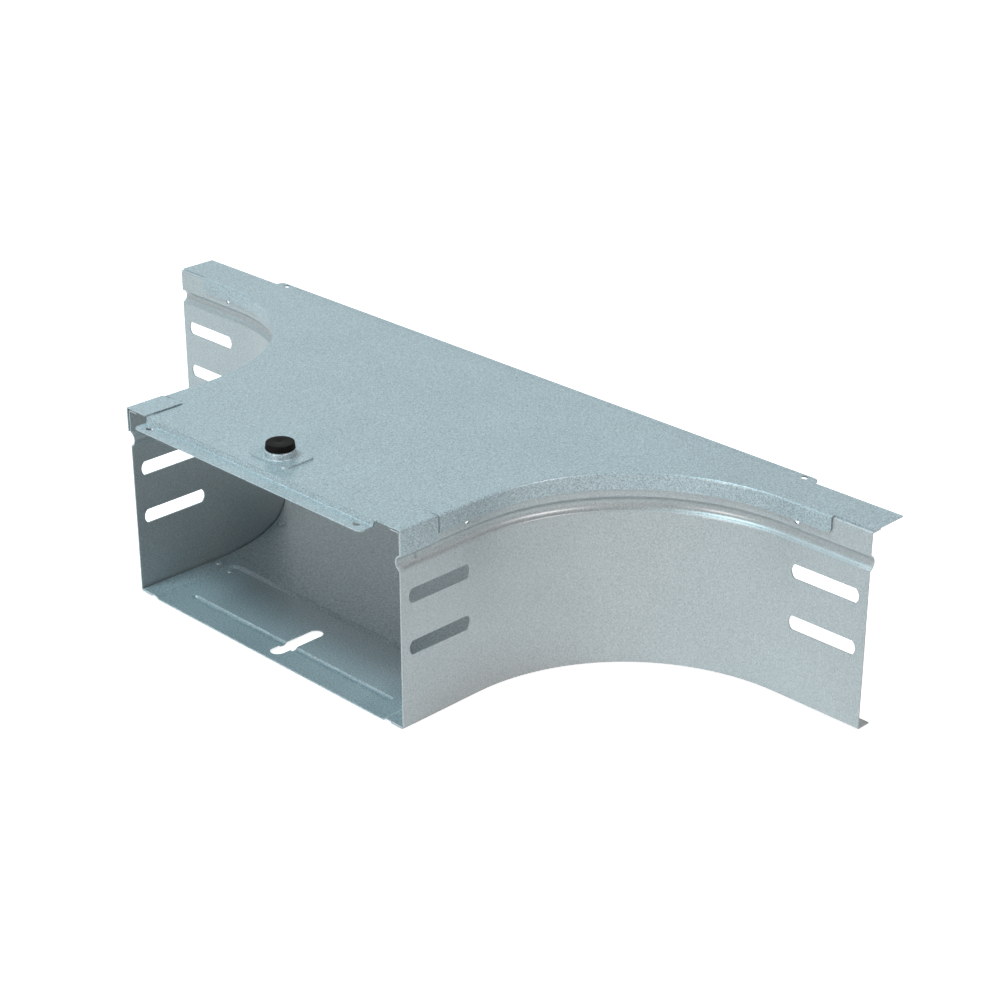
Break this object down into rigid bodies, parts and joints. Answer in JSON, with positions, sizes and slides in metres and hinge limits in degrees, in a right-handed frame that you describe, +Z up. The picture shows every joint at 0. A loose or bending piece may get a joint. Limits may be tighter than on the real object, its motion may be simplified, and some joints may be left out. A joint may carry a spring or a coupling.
{
  "type": "cable tray add-on tee",
  "caption": "Horizontal add-on tee for a perforated cable tray: two curved folded side walls, a ribbed floor plate and a fitted lid held by a black quarter-turn latch.",
  "frame": {"origin": "on the underside of the floor's recess, on the branch's centreline, level with the centres of the two curved walls", "axes": "+X along the run, -Y towards the branch's open end, +Y towards the existing tray, +Z up to the lid"},
  "size_m": [0.5016, 0.1915, 0.113],
  "materials": {
    "galvanised_sheet": "matt bluish-grey zinc with a fine grain",
    "black_plastic": "moulded, satin",
    "plated_steel": "bright zinc plating"
  },
  "bodies": {
    "root": {"floor_plate": "galvanised_sheet", "side_wall_left": "galvanised_sheet", "side_wall_right": "galvanised_sheet", "lid": "galvanised_sheet", "latch_bridge": "galvanised_sheet", "latch_spring_washer": "plated_steel"},
    "latch": {"latch_knob": "black_plastic", "latch_spindle": "plated_steel", "latch_bar": "plated_steel", "latch_retaining_ring": "plated_steel"}
  },
  "joints": [
    {"name": "latch_turn", "type": "hinge", "parent": "root", "child": "latch", "pos_m": [0, -0.0347, 0.108], "axis": [0, 0, 1], "range_deg": [0, 90]}
  ]
}
